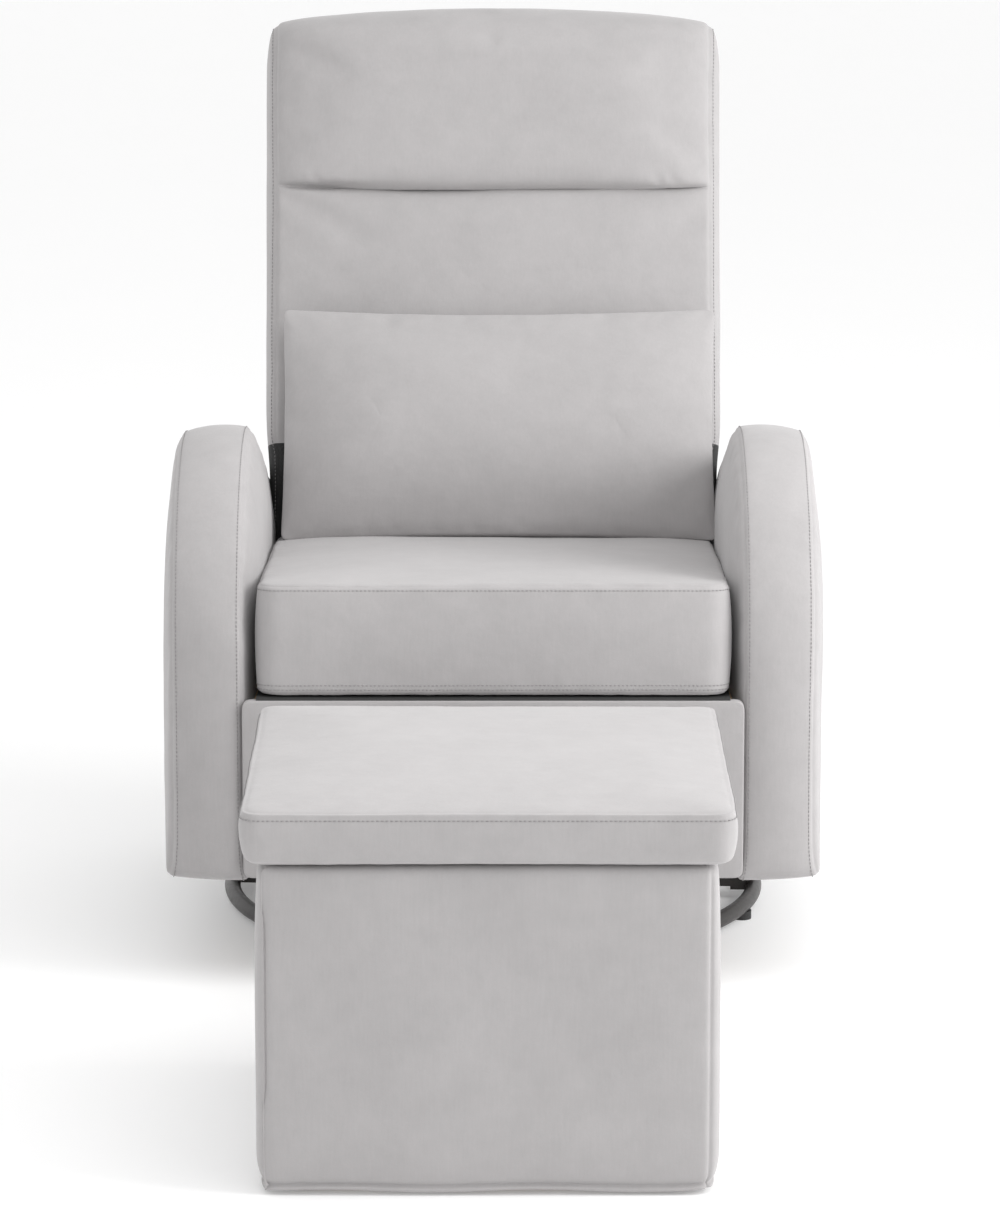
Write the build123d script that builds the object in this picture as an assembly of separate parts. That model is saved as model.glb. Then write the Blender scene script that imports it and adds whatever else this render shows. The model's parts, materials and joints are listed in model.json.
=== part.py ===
from build123d import *
import os
from math import atan2, cos, radians, sin, tan

# Glider nursery chair with its storage ottoman. Millimetres, +Z up, +X to the sitter's left, +Y to the rear.
# Every function works with y measured from the swivel axis. SWIVEL_Y then moves the whole set, so that the
# origin is on the floor under the middle of the set's bounding box.
#
# The steel base is a ring on six feet with crossed bars, a hub plate, a ball race and a kingpin. Two pivot
# brackets turn on it, and four links hang from them and carry the chair, which glides to and fro level.
# The chair is a plywood seat box with springs, two padded arms and a reclined back on two steel brackets.
# The seat cushion and the lumbar pillow are loose. The ottoman is a padded box with a hinged cushion lid.

# ---- driving dimensions ----
SWIVEL_Y = 332.67  # swivel axis, behind the middle of the set
CHAIR_W = 737.0  # over the bulge of both arms
FRONT_Y = -398.0  # front of the arms
REAR_Y = 262.0  # rear of the arms
BODY_Z = 130.0  # underside of the upholstered body
GAP = 0.3  # air between pieces that only meet

# base
RING_R = 314.0
RING_TUBE_R = 9.5
FOOT_H = 6.0
FOOT_R = 11.0
FOOT_COUNT = 6
FIRST_FOOT_DEG = -20.0
BAR = 20.0  # square tube of the crossed bars
BAR_WALL = 2.0
BAR_YAW = -3.0
HUB_R = 95.0
PLATE_T = 5.0
KINGPIN_R = 8.0
RACE_R = 82.0
RACE_HALF_W = 11.0
RACE_T = 5.5
BALL_R = 3.2
BALL_COUNT = 20

# glide linkage
LINK_LENGTH = 160.0
LINK_W = 28.0
LINK_T = 5.0
PIVOT_Y = 140.0
UPPER_PIVOT_Z = 245.0
PIN_R = 5.0
PIN_CLEARANCE = 0.05
OPEN_PIN_CLEARANCE = 0.3
BUSH_R = 8.0
BRACKET_X = 190.0  # inner face of a pivot bracket
BRACKET_T = 5.0
LINK_X = 201.0  # inner face of a link
RAIL_X = 211.0  # inner face of a carriage rail
RAIL_T = 4.0
RAIL_HALF_LENGTH = 190.0

# seat box
BOARD = 18.0
SIDE_BOARD_X = 250.0  # inner face of a side board
BOX_FRONT_Y = -385.0
BOX_REAR_Y = 250.0
DECK_Z = 339.0  # underside of the cushion at the front edge
SEAT_TILT = 5.08
REAR_COVER_TOP = 345.0
SPRING_WIRE_R = 1.9
SPRING_COUNT = 5
SPRING_PITCH_X = 84.0
SPRING_HALF_W = 24.0
SPRING_PITCH = 32.0

# arms
ARM_IN_X = 270.0
ARM_OUT_X = CHAIR_W / 2
ARM_CURVE_R = 221.0
ARM_CURVE_Z = 385.0  # where the front starts to curve back
ARM_SLOPE = 18.5
ARM_PAD = 18.0
ARM_EDGE_R = 18.0

# back, in its own leaning frame: x across, y through the thickness, z along the back
RECLINE = 16.24
BACK_Y = 133.5  # front face where it meets the seat
BACK_Z = 430.0
BACK_HALF_W = 281.0
LOWER_BACK_HALF_W = 267.0
BACK_T = 130.0
BACK_TOP = 639.0
BACK_BOTTOM = -105.0
EAR_BOTTOM = 86.0  # the wide part starts here, just over the arms
CAVITY_HALF_W = 250.5
CAVITY_FRONT = 45.0
CAVITY_TOP = 608.0
PANEL_T = 6.0

# loose cushions
CUSHION_HALF_W = 267.0
CUSHION_DEPTH = 496.0
CUSHION_T = 127.0
PILLOW_W = 518.0
PILLOW_X = 5.0
PILLOW_T = 104.0
PILLOW_H = 271.0
PILLOW_BOTTOM = -17.0

# ottoman
OTTO_X = -5.0
OTTO_HALF_W = 229.0
OTTO_FRONT_Y = -1085.0
OTTO_REAR_Y = -655.0
OTTO_BOX_TOP = 334.0
OTTO_HEM_Z = 4.0
OTTO_PAD = 9.0
OTTO_BOARD = 15.0
OTTO_FLOOR_Z = 8.0
OTTO_BOARD_Z = 14.0
OTTO_BOARD_TOP = OTTO_BOX_TOP - 8.0
OTTO_BOARD_R = 10.0  # rounded outer corners, so that the cover sits over them
LID_BOARD_R = 18.0
LID_HALF_W = 243.5
LID_OVERHANG = 12.0
LID_Z = 337.0
LID_T = 60.0
LID_BOARD_T = 12.0
HINGE_X = 130.0
HINGE_R = 3.5
HINGE_PIN_R = 1.5
HINGE_LENGTH = 50.0
LEAF_T = 1.5

# heights that follow from the ones above
RING_Z = FOOT_H + RING_TUBE_R
BAR_Z0 = RING_Z
HUB_Z0 = BAR_Z0 + BAR
RACE_Z0 = HUB_Z0 + PLATE_T
BALL_Z = RACE_Z0 + 6.5
UPPER_RACE_Z0 = 2 * BALL_Z - RACE_Z0 - RACE_T
SWIVEL_PLATE_Z0 = UPPER_RACE_Z0 + RACE_T
CROSSMEMBER_Z0 = SWIVEL_PLATE_Z0 + PLATE_T
LOWER_PIVOT_Z = UPPER_PIVOT_Z - LINK_LENGTH
SPRING_DEPTH = -2.8 - SPRING_WIRE_R  # centre of the wire under the deck plane
HINGE_Y = OTTO_REAR_Y + HINGE_R + 0.5
HINGE_Z = LID_Z - HINGE_R - 0.5

DECK = Pos(0, FRONT_Y, DECK_Z) * Rot(-SEAT_TILT, 0, 0)
BACK = Pos(0, BACK_Y, BACK_Z) * Rot(-RECLINE, 0, 0)


# ---- helpers ----
def block(x0, x1, y0, y1, z0, z1):
    return Pos((x0 + x1) / 2, (y0 + y1) / 2, (z0 + z1) / 2) * Box(x1 - x0, y1 - y0, z1 - z0)


def rod_x(radius, x0, x1, y, z):
    return Pos((x0 + x1) / 2, y, z) * Rot(0, 90, 0) * Cylinder(radius, x1 - x0)


def rod_z(radius, z0, z1, x=0.0, y=0.0):
    return Pos(x, y, (z0 + z1) / 2) * Cylinder(radius, z1 - z0)


def hexagon_x(across_flats, x0, x1, y, z):
    sketch = RegularPolygon(across_flats / 2, 6, major_radius=False)
    return Pos(x0, y, z) * Rot(0, 90, 0) * extrude(sketch, x1 - x0)


def slab_x(face, x0, x1):
    """A face drawn in y and z, extruded from x0 to x1."""
    return Pos(x0, 0, 0) * extrude(Plane.YZ * face, x1 - x0)


def group(*shapes):
    """Separate solids that share a node."""
    return Compound([solid for shape in shapes for solid in shape.solids()])


def mirrored(shape):
    return mirror(shape, about=Plane.YZ)


def pair(shape):
    return group(shape, mirrored(shape))


def rounded_block(x0, x1, y0, y1, z0, z1, radius):
    solid = block(x0, x1, y0, y1, z0, z1)
    return fillet(solid.edges(), radius)


# ---- base: stands on the floor ----
def base_ring():
    return Pos(0, 0, RING_Z) * Torus(RING_R, RING_TUBE_R)


def ring_groove():
    """The ring's tube with a little air, to cut what seats on it."""
    return Pos(0, 0, RING_Z) * Torus(RING_R, RING_TUBE_R + 0.2)


def ring_feet():
    feet = []
    for i in range(FOOT_COUNT):
        angle = radians(FIRST_FOOT_DEG + i * 360 / FOOT_COUNT)
        foot = rod_z(FOOT_R, 0, FOOT_H + 4, RING_R * cos(angle), RING_R * sin(angle))
        feet.append(foot - ring_groove())
    return group(*feet)


def square_tube(length):
    return Box(length, BAR, BAR) - Box(length + 1, BAR - 2 * BAR_WALL, BAR - 2 * BAR_WALL)


def cross_bar_side():
    bar = Pos(0, 0, BAR_Z0 + BAR / 2) * square_tube(2 * RING_R)
    return Rot(0, 0, BAR_YAW) * (bar - ring_groove())


def cross_bars_fore_aft():
    half = RING_R - BAR / 2
    bar = Pos(BAR / 2 + half / 2, 0, BAR_Z0 + BAR / 2) * square_tube(half)
    bar = bar - ring_groove()
    return group(Rot(0, 0, 90 + BAR_YAW) * bar, Rot(0, 0, -90 + BAR_YAW) * bar)


def bar_gussets():
    """Small plates welded under the bar ends, against the ring."""
    plate = block(RING_R - 28, RING_R - 5, -BAR / 2, BAR / 2, BAR_Z0 - 4, BAR_Z0) - ring_groove()
    return group(*[Rot(0, 0, BAR_YAW + 90 * i) * plate for i in range(4)])


def hub_plate():
    return rod_z(HUB_R, HUB_Z0, RACE_Z0)


def kingpin():
    return rod_z(KINGPIN_R, RACE_Z0, CROSSMEMBER_Z0 + 20)


def kingpin_nut():
    z0 = CROSSMEMBER_Z0 + 2.0
    hexagon = extrude(RegularPolygon(12.0, 6, major_radius=False), 8.0)
    bore = rod_z(KINGPIN_R + PIN_CLEARANCE, z0 - 1, z0 + 20)
    return group((rod_z(17.0, z0, z0 + 2) + Pos(0, 0, z0 + 2) * hexagon) - bore)


def race(z0, z1):
    ring = rod_z(RACE_R + RACE_HALF_W, z0, z1) - rod_z(RACE_R - RACE_HALF_W, z0 - 1, z1 + 1)
    return ring - Pos(0, 0, BALL_Z) * Torus(RACE_R, BALL_R + 0.1)


def bearing_lower_race():
    return race(RACE_Z0, RACE_Z0 + RACE_T)


def bearing_upper_race():
    return race(UPPER_RACE_Z0, UPPER_RACE_Z0 + RACE_T)


def ball_places():
    return [Rot(0, 0, i * 360 / BALL_COUNT) * Pos(RACE_R, 0, BALL_Z) for i in range(BALL_COUNT)]


def bearing_balls():
    return group(*[place * Sphere(BALL_R) for place in ball_places()])


def bearing_cage():
    half_t = 0.6
    cage = rod_z(RACE_R + 7, BALL_Z - half_t, BALL_Z + half_t) - rod_z(RACE_R - 7, 0, 100)
    for place in ball_places():
        cage = cage - place * Cylinder(BALL_R + 0.2, 4)
    return cage


# ---- swivel: turns on the base ----
def swivel_plate():
    plate = block(-100, 100, -105, 105, SWIVEL_PLATE_Z0, CROSSMEMBER_Z0)
    return fillet(plate.edges().filter_by(Axis.Z), 12) - rod_z(11.0, 0, 200)


def kingpin_bush():
    z1 = CROSSMEMBER_Z0 + 1.5
    bush = rod_z(10.9, SWIVEL_PLATE_Z0, CROSSMEMBER_Z0) + rod_z(15.0, CROSSMEMBER_Z0, z1)
    return bush - rod_z(KINGPIN_R + PIN_CLEARANCE, 0, 200)


def crossmember(y):
    tube = Box(2 * BRACKET_X, 30, 20) - Box(2 * BRACKET_X + 1, 26, 16)
    return Pos(0, y, CROSSMEMBER_Z0 + 10) * tube


def pivot_bracket():
    """Plate that stands up inside the seat box and carries the two upper pivots of one side."""
    foot, ear_r = 108.0, 17.0
    lean = atan2(UPPER_PIVOT_Z - CROSSMEMBER_Z0, PIVOT_Y - foot) - radians(90)
    edge_y = PIVOT_Y + ear_r * cos(lean)
    edge_z = UPPER_PIVOT_Z + ear_r * sin(lean)
    outline = Polyline(
        (-foot, CROSSMEMBER_Z0), (foot, CROSSMEMBER_Z0), (edge_y, edge_z), (PIVOT_Y, UPPER_PIVOT_Z + ear_r),
        (-PIVOT_Y, UPPER_PIVOT_Z + ear_r), (-edge_y, edge_z), close=True,
    )
    face = make_face(outline) + Pos(PIVOT_Y, UPPER_PIVOT_Z) * Circle(ear_r)
    face = face + Pos(-PIVOT_Y, UPPER_PIVOT_Z) * Circle(ear_r)
    for y in (-PIVOT_Y, PIVOT_Y):
        face = face - Pos(y, UPPER_PIVOT_Z) * Circle(PIN_R + 0.1)
    return slab_x(face, BRACKET_X, BRACKET_X + BRACKET_T)


def upper_pivot_bolt(y):
    """Shoulder bolt: nut inside the bracket, shoulder, shank through the link's bush, and head."""
    z = UPPER_PIVOT_Z
    bracket_out = BRACKET_X + BRACKET_T
    bush_in = LINK_X - 1
    bush_out = LINK_X + LINK_T + 1
    bolt = rod_x(PIN_R, BRACKET_X - 9, bush_out + GAP, y, z)
    bolt = bolt + rod_x(7.0, bracket_out, bush_in - GAP, y, z)
    bolt = bolt + hexagon_x(16, bush_out + GAP, bush_out + 5, y, z)
    return bolt + hexagon_x(17, BRACKET_X - 8, BRACKET_X, y, z)


def upper_pivot_bolts():
    return pair(group(upper_pivot_bolt(-PIVOT_Y), upper_pivot_bolt(PIVOT_Y)))


# ---- links: hang from the swivel's brackets and carry the chair ----
def link(y):
    face = Pos(y, (UPPER_PIVOT_Z + LOWER_PIVOT_Z) / 2) * SlotCenterToCenter(LINK_LENGTH, LINK_W, rotation=90)
    for z in (UPPER_PIVOT_Z, LOWER_PIVOT_Z):
        face = face - Pos(y, z) * Circle(BUSH_R)
    return slab_x(face, LINK_X, LINK_X + LINK_T)


def link_bush(y, z, clearance):
    body = rod_x(BUSH_R - PIN_CLEARANCE, LINK_X - 1, LINK_X + LINK_T + 1, y, z)
    return body - rod_x(PIN_R + clearance, 0, 300, y, z)


def link_bushes(y, lower_clearance):
    upper = link_bush(y, UPPER_PIVOT_Z, PIN_CLEARANCE)
    return pair(group(upper, link_bush(y, LOWER_PIVOT_Z, lower_clearance)))


# ---- chair: rides on the links ----
def carriage_rail():
    """Angle iron: the upright leg holds the lower pivots, the flat leg is screwed under the side board."""
    top = BODY_Z
    upright = block(RAIL_X, RAIL_X + RAIL_T, -RAIL_HALF_LENGTH, RAIL_HALF_LENGTH, LOWER_PIVOT_Z - 18, top)
    flat = block(RAIL_X, SIDE_BOARD_X + BOARD, -RAIL_HALF_LENGTH, RAIL_HALF_LENGTH, top - RAIL_T, top)
    rail = upright + flat
    for y in (-PIVOT_Y, PIVOT_Y):
        rail = rail - rod_x(PIN_R + 0.1, RAIL_X - 1, RAIL_X + RAIL_T + 1, y, LOWER_PIVOT_Z)
    return rail


def lower_pivot_bolt(y):
    z = LOWER_PIVOT_Z
    bush_in = LINK_X - 1
    bush_out = LINK_X + LINK_T + 1
    bolt = rod_x(PIN_R, bush_in - GAP, RAIL_X + RAIL_T + 8, y, z)
    bolt = bolt + rod_x(8.5, bush_in - 2.8, bush_in - GAP, y, z)
    bolt = bolt + rod_x(7.0, bush_out + GAP, RAIL_X, y, z)
    return bolt + hexagon_x(17, RAIL_X + RAIL_T, RAIL_X + RAIL_T + 7, y, z)


def lower_pivot_bolts():
    return pair(group(lower_pivot_bolt(-PIVOT_Y), lower_pivot_bolt(PIVOT_Y)))


def deck_height(y, below=0.0):
    """Height of the tilted seat deck, or of a plane that far below it."""
    return DECK_Z - below - tan(radians(SEAT_TILT)) * (y - FRONT_Y)


def seat_front_rail():
    top = deck_height(BOX_FRONT_Y, 9)
    return block(-SIDE_BOARD_X, SIDE_BOARD_X, BOX_FRONT_Y, BOX_FRONT_Y + BOARD, BODY_Z + 5, top)


def seat_rear_rail():
    top = deck_height(BOX_REAR_Y, 9)
    return block(-SIDE_BOARD_X, SIDE_BOARD_X, BOX_REAR_Y - BOARD, BOX_REAR_Y, BODY_Z + 5, top)


def seat_side():
    outline = Polyline(
        (BOX_FRONT_Y, BODY_Z), (BOX_REAR_Y, BODY_Z), (BOX_REAR_Y, deck_height(BOX_REAR_Y, 9)),
        (BOX_FRONT_Y, deck_height(BOX_FRONT_Y, 9)), close=True,
    )
    return slab_x(make_face(outline), SIDE_BOARD_X, SIDE_BOARD_X + BOARD)


def spring_span():
    """Where a spring starts and ends along the tilted deck."""
    start = (BOX_FRONT_Y + BOARD / 2 - FRONT_Y) / cos(radians(SEAT_TILT))
    end = (BOX_REAR_Y - BOARD / 2 - FRONT_Y) / cos(radians(SEAT_TILT))
    return start, end


def seat_springs():
    """Sinuous springs from the front rail to the rear rail, just under the deck cloth."""
    start, end = spring_span()
    turns = int((end - start) / SPRING_PITCH)
    pitch = (end - start) / turns
    points = []
    for i in range(turns + 1):
        side = SPRING_HALF_W if i % 2 else -SPRING_HALF_W
        points += [(-side, start + i * pitch, 0), (side, start + i * pitch, 0)]
    path = FilletPolyline(*points, radius=pitch / 2 - 0.05)
    wire_circle = Plane(origin=path @ 0, z_dir=path % 0) * Circle(SPRING_WIRE_R)
    spring = sweep(wire_circle, path=path)
    first = -(SPRING_COUNT - 1) / 2
    places = [Pos((first + i) * SPRING_PITCH_X, 0, SPRING_DEPTH) for i in range(SPRING_COUNT)]
    return group(*[DECK * place * spring for place in places])


def spring_clips():
    """Bent clips that hold the spring ends on the rails."""
    clips = []
    clip = Box(13, 14, 5.2) - Box(14, 2 * SPRING_WIRE_R + 0.4, 2 * SPRING_WIRE_R + 0.4)
    for y in spring_span():
        for i in range(SPRING_COUNT):
            x = (i - (SPRING_COUNT - 1) / 2) * SPRING_PITCH_X
            clips.append(DECK * Pos(x, y, SPRING_DEPTH) * clip)
    return group(*clips)


def deck_cloth():
    return DECK * block(-262, 262, 14, 492, -1.8, -GAP)


def rail_cover(y0, y1, top):
    half = ARM_IN_X - GAP
    return block(-half, half, y0, y1, BODY_Z, top)


def front_rail_cover():
    cover = rail_cover(FRONT_Y, BOX_FRONT_Y - GAP, deck_height(BOX_FRONT_Y, 4))
    return fillet(cover.edges().filter_by(Axis.X).group_by(Axis.Y)[0], 3)


def rear_rail_cover():
    """Rises past the rear rail, to close the chair's body under the back."""
    cover = rail_cover(BOX_REAR_Y + GAP, BOX_REAR_Y + 7, REAR_COVER_TOP)
    return fillet(cover.edges().filter_by(Axis.X).group_by(Axis.Y)[-1], 3)


def arm_outline(inset):
    """Side view of an arm: upright front, a big curve to the crest, and a top that falls to the rear."""
    front, rear, bottom = FRONT_Y + inset, REAR_Y - inset, BODY_Z + inset
    radius = ARM_CURVE_R - inset
    centre_y = FRONT_Y + ARM_CURVE_R
    leave = radians(90 - ARM_SLOPE)
    middle = radians(135 - ARM_SLOPE / 2)
    leave_y = centre_y + radius * cos(leave)
    leave_z = ARM_CURVE_Z + radius * sin(leave)
    rear_z = leave_z - tan(radians(ARM_SLOPE)) * (rear - leave_y)
    curve_middle = (centre_y + radius * cos(middle), ARM_CURVE_Z + radius * sin(middle))
    return make_face([
        Line((front, bottom), (front, ARM_CURVE_Z)),
        ThreePointArc((front, ARM_CURVE_Z), curve_middle, (leave_y, leave_z)),
        Line((leave_y, leave_z), (rear, rear_z)),
        Line((rear, rear_z), (rear, bottom)),
        Line((rear, bottom), (front, bottom)),
    ])


def arm_core():
    """Room that the frame takes inside the pad."""
    return slab_x(arm_outline(ARM_PAD), ARM_IN_X + ARM_PAD, ARM_OUT_X - ARM_PAD)


def arm_frame():
    """Band of boards that follows the outline, with a thin plywood skin on each side."""
    x0, x1 = ARM_IN_X + ARM_PAD + GAP, ARM_OUT_X - ARM_PAD - GAP
    skin = 5.0
    outer = arm_outline(ARM_PAD + GAP)
    band = slab_x(outer - arm_outline(ARM_PAD + BOARD), x0 + skin, x1 - skin)
    return group(band, slab_x(outer, x0, x0 + skin), slab_x(outer, x1 - skin, x1))


def arm_pad():
    pad = slab_x(arm_outline(0), ARM_IN_X, ARM_OUT_X)
    outer_edges = pad.edges().group_by(Axis.X)[-1]
    inner_edges = pad.edges().group_by(Axis.X)[0]
    pad = fillet(outer_edges + inner_edges, ARM_EDGE_R / 2)
    return pad - arm_core()


# ---- back ----
def back_block(half_w, y0, y1, z0, z1):
    return block(-half_w, half_w, y0, y1, z0, z1)


def back_pad():
    upper = back_block(BACK_HALF_W, 0, BACK_T, EAR_BOTTOM, BACK_TOP)
    upper = fillet(upper.edges().filter_by(Axis.Z) + upper.edges().group_by(Axis.Z)[-1], 22)
    lower = back_block(LOWER_BACK_HALF_W, 0, BACK_T, BACK_BOTTOM, EAR_BOTTOM)
    cavity = back_block(CAVITY_HALF_W, CAVITY_FRONT, BACK_T + 1, BACK_BOTTOM - 1, CAVITY_TOP)
    return BACK * ((upper + lower) - cavity)


def back_panel():
    y0 = BACK_T - PANEL_T
    return BACK * back_block(CAVITY_HALF_W - GAP, y0, BACK_T, BACK_BOTTOM, CAVITY_TOP - GAP)


def back_posts():
    return pair(BACK * block(222, 245.5, 52, 120, BACK_BOTTOM + 1, CAVITY_TOP - 4))


def back_rails():
    rails = []
    for z0, z1 in ((-100, -30), (120, 170), (330, 380), (534, 604)):
        rails.append(BACK * back_block(222 - GAP, 60, 82, z0, z1))
    return group(*rails)


def back_webbing():
    straps = [BACK * back_block(244, 48, 50, z, z + 50) for z in range(20, 460, 80)]
    return group(*straps)


def back_bracket():
    """Steel tongue: bolted to the post above the deck and to the side board below it."""
    return BACK * block(245.7, 249.7, 60, 100, -230, 60)


# ---- loose cushions ----
def seat_cushion():
    return DECK * rounded_block(-CUSHION_HALF_W, CUSHION_HALF_W, 0, CUSHION_DEPTH, 0, CUSHION_T, 14)


def lumbar_pillow():
    x0, x1 = PILLOW_X - PILLOW_W / 2, PILLOW_X + PILLOW_W / 2
    pillow = rounded_block(x0, x1, -PILLOW_T - 1, -1, PILLOW_BOTTOM, PILLOW_BOTTOM + PILLOW_H, 44)
    return BACK * pillow


# ---- ottoman ----
def otto_block(half_w, y0, y1, z0, z1):
    return block(OTTO_X - half_w, OTTO_X + half_w, y0, y1, z0, z1)


def ottoman_cover():
    """Four padded panels that meet at the corners: front and rear between the two sides."""
    half = OTTO_HALF_W - OTTO_PAD
    front = otto_block(half, OTTO_FRONT_Y, OTTO_FRONT_Y + OTTO_PAD, OTTO_HEM_Z, OTTO_BOX_TOP)
    rear = otto_block(half, OTTO_REAR_Y - OTTO_PAD, OTTO_REAR_Y, OTTO_HEM_Z, OTTO_BOX_TOP)
    side_x = OTTO_X + OTTO_HALF_W
    right = block(side_x - OTTO_PAD, side_x, OTTO_FRONT_Y, OTTO_REAR_Y, OTTO_HEM_Z, OTTO_BOX_TOP)
    left = Pos(2 * OTTO_X, 0, 0) * mirrored(right)
    return group(front, rear, right, left)


def ottoman_end_boards():
    half = OTTO_HALF_W - OTTO_PAD
    boards = []
    for y0, outer in ((OTTO_FRONT_Y + OTTO_PAD, 0), (OTTO_REAR_Y - OTTO_PAD - OTTO_BOARD, -1)):
        board = otto_block(half, y0, y0 + OTTO_BOARD, OTTO_BOARD_Z, OTTO_BOARD_TOP)
        boards.append(fillet(board.edges().filter_by(Axis.Z).group_by(Axis.Y)[outer], OTTO_BOARD_R))
    return group(*boards)


def ottoman_side_boards():
    x1 = OTTO_X + OTTO_HALF_W - OTTO_PAD
    y0 = OTTO_FRONT_Y + OTTO_PAD + OTTO_BOARD
    y1 = OTTO_REAR_Y - OTTO_PAD - OTTO_BOARD
    right = block(x1 - OTTO_BOARD, x1, y0, y1, OTTO_BOARD_Z, OTTO_BOARD_TOP)
    return group(right, Pos(2 * OTTO_X, 0, 0) * mirrored(right))


def ottoman_floor():
    inset = OTTO_PAD + OTTO_BOARD
    half = OTTO_HALF_W - inset
    return otto_block(half, OTTO_FRONT_Y + inset, OTTO_REAR_Y - inset, OTTO_FLOOR_Z, OTTO_FLOOR_Z + 12)


def ottoman_feet():
    inset = 45.0
    feet = []
    for x in (-OTTO_HALF_W + inset, OTTO_HALF_W - inset):
        for y in (OTTO_FRONT_Y + inset, OTTO_REAR_Y - inset):
            feet.append(rod_z(15, 0, OTTO_FLOOR_Z, OTTO_X + x, y))
    return group(*feet)


def lid_board(air=0.0):
    """Plywood board, or with some air around it the room that it takes in the cushion."""
    half = LID_HALF_W - 14 + air
    y0, y1 = OTTO_FRONT_Y + 4 - air, OTTO_REAR_Y - 4 + air
    board = otto_block(half, y0, y1, LID_Z - air, LID_Z + LID_BOARD_T + air)
    return fillet(board.edges().filter_by(Axis.Z), LID_BOARD_R)


def lid_cushion():
    y0, y1 = OTTO_FRONT_Y - LID_OVERHANG, OTTO_REAR_Y + LID_OVERHANG
    x0, x1 = OTTO_X - LID_HALF_W, OTTO_X + LID_HALF_W
    cushion = block(x0, x1, y0, y1, LID_Z, LID_Z + LID_T)
    cushion = fillet(cushion.edges().filter_by(Axis.Z), 16)
    cushion = fillet(cushion.edges().group_by(Axis.Z)[-1], 10)
    return cushion - lid_board(GAP)


def hinge_knuckle(x, half, radius=HINGE_R):
    return rod_x(radius, x - half, x + half, HINGE_Y, HINGE_Z)


def hinge_leaf_lower(x):
    """Leaf on the rear of the box, with the two outer knuckles."""
    half = HINGE_LENGTH / 2
    leaf_y = HINGE_Y - HINGE_R
    leaf = block(x - half, x + half, leaf_y, leaf_y + LEAF_T, HINGE_Z - 34, HINGE_Z)
    leaf = leaf + hinge_knuckle(x, half)
    leaf = leaf - hinge_knuckle(x, half / 3 + GAP, HINGE_R + 1)
    return leaf - hinge_knuckle(x, half + 1, HINGE_PIN_R + 0.02)


def hinge_leaf_upper(x):
    """Leaf under the lid, with the middle knuckle."""
    half = HINGE_LENGTH / 2
    top = HINGE_Z + HINGE_R
    leaf = block(x - half, x + half, HINGE_Y - 38, HINGE_Y, top - LEAF_T, top)
    outer = block(x - half - 1, x + half + 1, HINGE_Y - 4.6, HINGE_Y + 5, 0, 400)
    middle = block(x - half / 3, x + half / 3, HINGE_Y - 4.6, HINGE_Y + 5, 0, 400)
    leaf = leaf - (outer - middle)
    leaf = leaf + hinge_knuckle(x, half / 3)
    return leaf - hinge_knuckle(x, half, HINGE_PIN_R + PIN_CLEARANCE)


def hinges(make):
    return group(make(OTTO_X - HINGE_X), make(OTTO_X + HINGE_X))


def hinge_pins():
    return hinges(lambda x: hinge_knuckle(x, HINGE_LENGTH / 2, HINGE_PIN_R))


# ---- the whole set ----
def all_parts():
    arm_left, arm_frame_left = arm_pad(), arm_frame()
    rail_left, bracket_left, side_left = carriage_rail(), pivot_bracket(), seat_side()
    front_link, rear_link = link(-PIVOT_Y), link(PIVOT_Y)
    return {
        "base_ring": base_ring(),
        "ring_feet": ring_feet(),
        "cross_bar_side": cross_bar_side(),
        "cross_bars_fore_aft": cross_bars_fore_aft(),
        "bar_gussets": bar_gussets(),
        "hub_plate": hub_plate(),
        "kingpin": kingpin(),
        "kingpin_nut": kingpin_nut(),
        "bearing_lower_race": bearing_lower_race(),
        "bearing_balls": bearing_balls(),
        "bearing_cage": bearing_cage(),
        "bearing_upper_race": bearing_upper_race(),
        "swivel_plate": swivel_plate(),
        "kingpin_bush": kingpin_bush(),
        "crossmember_front": crossmember(-85),
        "crossmember_rear": crossmember(85),
        "pivot_bracket_left": bracket_left,
        "pivot_bracket_right": mirrored(bracket_left),
        "upper_pivot_bolts": upper_pivot_bolts(),
        "link_front_left": front_link,
        "link_front_right": mirrored(front_link),
        "front_link_bushes": link_bushes(-PIVOT_Y, PIN_CLEARANCE),
        "link_rear_left": rear_link,
        "link_rear_right": mirrored(rear_link),
        "rear_link_bushes": link_bushes(PIVOT_Y, OPEN_PIN_CLEARANCE),
        "carriage_rail_left": rail_left,
        "carriage_rail_right": mirrored(rail_left),
        "lower_pivot_bolts": lower_pivot_bolts(),
        "seat_front_rail": seat_front_rail(),
        "seat_rear_rail": seat_rear_rail(),
        "seat_side_left": side_left,
        "seat_side_right": mirrored(side_left),
        "seat_springs": seat_springs(),
        "spring_clips": spring_clips(),
        "deck_cloth": deck_cloth(),
        "front_rail_cover": front_rail_cover(),
        "rear_rail_cover": rear_rail_cover(),
        "arm_frame_left": arm_frame_left,
        "arm_frame_right": mirrored(arm_frame_left),
        "arm_pad_left": arm_left,
        "arm_pad_right": mirrored(arm_left),
        "back_posts": back_posts(),
        "back_rails": back_rails(),
        "back_webbing": back_webbing(),
        "back_pad": back_pad(),
        "back_panel": back_panel(),
        "back_brackets": pair(back_bracket()),
        "seat_cushion": seat_cushion(),
        "lumbar_pillow": lumbar_pillow(),
        "ottoman_cover": ottoman_cover(),
        "ottoman_end_boards": ottoman_end_boards(),
        "ottoman_side_boards": ottoman_side_boards(),
        "ottoman_floor": ottoman_floor(),
        "ottoman_feet": ottoman_feet(),
        "hinge_leaves_lower": hinges(hinge_leaf_lower),
        "hinge_pins": hinge_pins(),
        "hinge_leaves_upper": hinges(hinge_leaf_upper),
        "lid_board": lid_board(),
        "lid_cushion": lid_cushion(),
    }


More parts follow.
